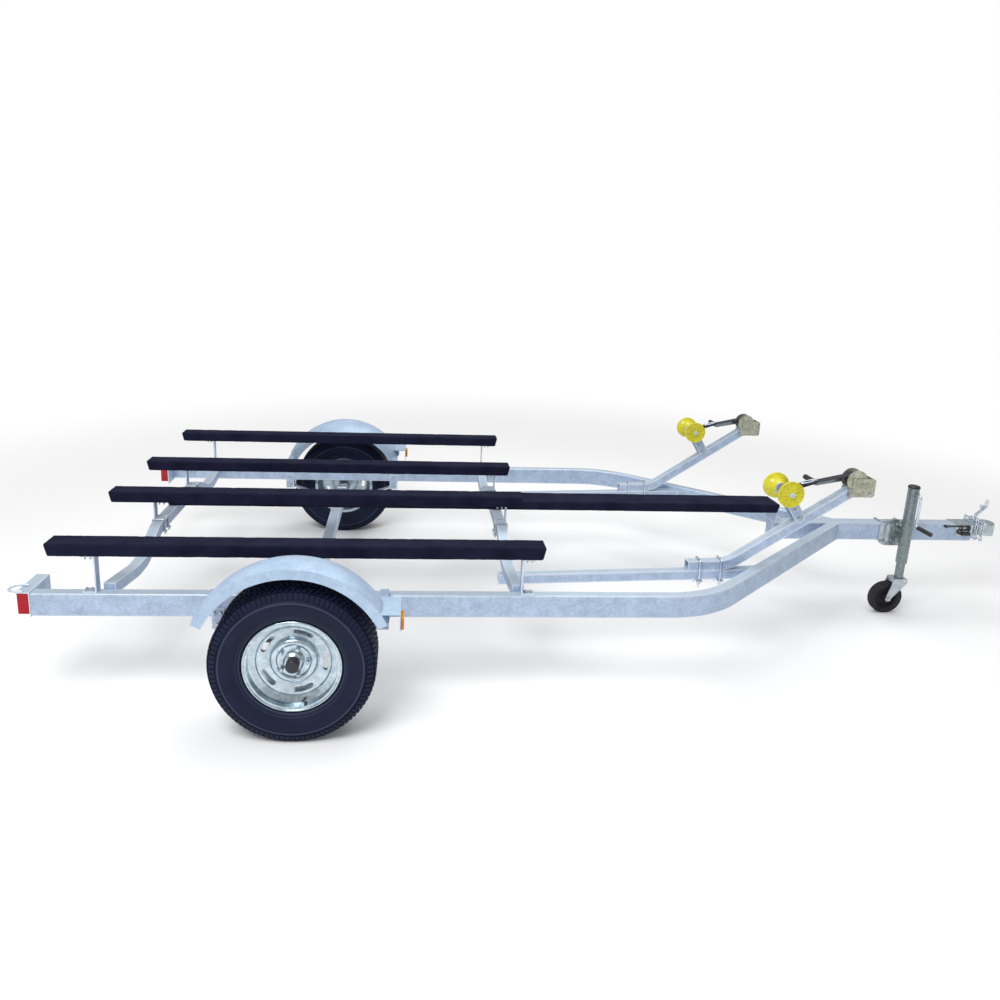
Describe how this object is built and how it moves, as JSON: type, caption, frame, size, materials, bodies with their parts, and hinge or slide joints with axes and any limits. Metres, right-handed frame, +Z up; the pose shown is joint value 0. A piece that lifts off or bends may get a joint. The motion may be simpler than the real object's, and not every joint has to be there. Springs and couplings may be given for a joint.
{
  "type": "double watercraft trailer",
  "caption": "Galvanised bunk trailer that carries small watercraft side by side, with winch posts, bow rollers, a walk board and a swing-up tongue jack.",
  "frame": {"origin": "on the ground, under the middle of the overall box", "axes": "+X forward to the coupler, +Y to the trailer's left, +Z up"},
  "size_m": [5.037, 2.47, 0.995],
  "materials": {
    "galvanised": "hot-dip galvanised",
    "fender_sheet": "galvanised sheet",
    "wheel_steel": "galvanised wheel disc",
    "hub_steel": "galvanised hub",
    "carpet": "bunk carpet",
    "tyre_rubber": "black rubber",
    "red_lens": "red lens",
    "amber_lens": "amber lens",
    "yellow_roller": "yellow polymer",
    "zinc_plate": "zinc plated",
    "webbing": "black webbing",
    "caster_steel": "dark wheel",
    "black_polymer": "black polymer"
  },
  "bodies": {
    "frame": {"side_rail_right": "galvanised", "side_rail_left": "galvanised", "tongue": "galvanised", "rear_cross_member": "galvanised", "front_cross_member": "galvanised", "winch_supports": "galvanised", "winch_post_right": "galvanised", "winch_post_left": "galvanised", "roller_bracket_right": "galvanised", "roller_bracket_left": "galvanised", "outer_bunk_brackets": "galvanised", "inner_bunk_brackets": "galvanised", "walk_board_bracket": "galvanised", "tail_light_boxes": "galvanised", "tie_down_loops": "galvanised", "axle": "galvanised", "leaf_springs": "galvanised", "spring_hangers": "galvanised", "fender_right": "fender_sheet", "fender_left": "fender_sheet", "bunk_outer_right": "carpet", "bunk_inner_right": "carpet", "bunk_inner_left": "carpet", "bunk_outer_left": "carpet", "walk_board": "carpet", "tail_lamps": "red_lens", "marker_lamps": "amber_lens", "winch_frames": "zinc_plate", "winch_drums": "zinc_plate", "winch_gears": "zinc_plate", "winch_handles": "zinc_plate", "jack_bracket": "zinc_plate", "coupler": "zinc_plate", "coupler_latch": "zinc_plate", "safety_chains": "zinc_plate", "winch_straps": "webbing", "winch_grips": "black_polymer", "wiring_lead": "black_polymer", "wiring_plug": "black_polymer"},
    "wheel_right": {"tyre_right": "tyre_rubber", "rim_right": "wheel_steel", "hub_right": "hub_steel", "hub_cap_right": "black_polymer"},
    "wheel_left": {"tyre_left": "tyre_rubber", "rim_left": "wheel_steel", "hub_left": "hub_steel", "hub_cap_left": "black_polymer"},
    "bow_roller_right": {"bow_roller_right": "yellow_roller"},
    "bow_roller_left": {"bow_roller_left": "yellow_roller"},
    "jack": {"jack_tube": "zinc_plate", "jack_crank": "zinc_plate", "jack_cap": "black_polymer", "jack_grip": "black_polymer"},
    "jack_leg": {"jack_leg": "zinc_plate"},
    "caster_fork": {"caster_fork": "zinc_plate"},
    "caster_wheel": {"caster_hub": "caster_steel", "caster_tyre": "tyre_rubber"}
  },
  "joints": [
    {"name": "wheel_right_spin", "type": "hinge", "parent": "frame", "child": "wheel_right", "pos_m": [-1.3215, -1.1175, 0.3315], "axis": [0, 1, 0], "continuous": true},
    {"name": "wheel_left_spin", "type": "hinge", "parent": "frame", "child": "wheel_left", "pos_m": [-1.3215, 1.1175, 0.3315], "axis": [0, 1, 0], "continuous": true},
    {"name": "bow_roller_right_spin", "type": "hinge", "parent": "frame", "child": "bow_roller_right", "pos_m": [0.9075, -0.586, 0.888], "axis": [0, 1, 0], "continuous": true},
    {"name": "bow_roller_left_spin", "type": "hinge", "parent": "frame", "child": "bow_roller_left", "pos_m": [0.9075, 0.586, 0.888], "axis": [0, 1, 0], "continuous": true},
    {"name": "jack_swing", "type": "hinge", "parent": "frame", "child": "jack", "pos_m": [1.9285, -0.06, 0.463], "axis": [0, -1, 0], "range_deg": [0, 90]},
    {"name": "jack_lift", "type": "slide", "parent": "jack", "child": "jack_leg", "axis": [0, 0, 1], "range_m": [-0.15, 0.08]},
    {"name": "caster_swivel", "type": "hinge", "parent": "jack_leg", "child": "caster_fork", "pos_m": [1.9285, -0.1, 0.2], "axis": [0, 0, 1], "continuous": true},
    {"name": "caster_spin", "type": "hinge", "parent": "caster_fork", "child": "caster_wheel", "pos_m": [1.8655, -0.1, 0.093], "axis": [0, 1, 0], "continuous": true}
  ]
}
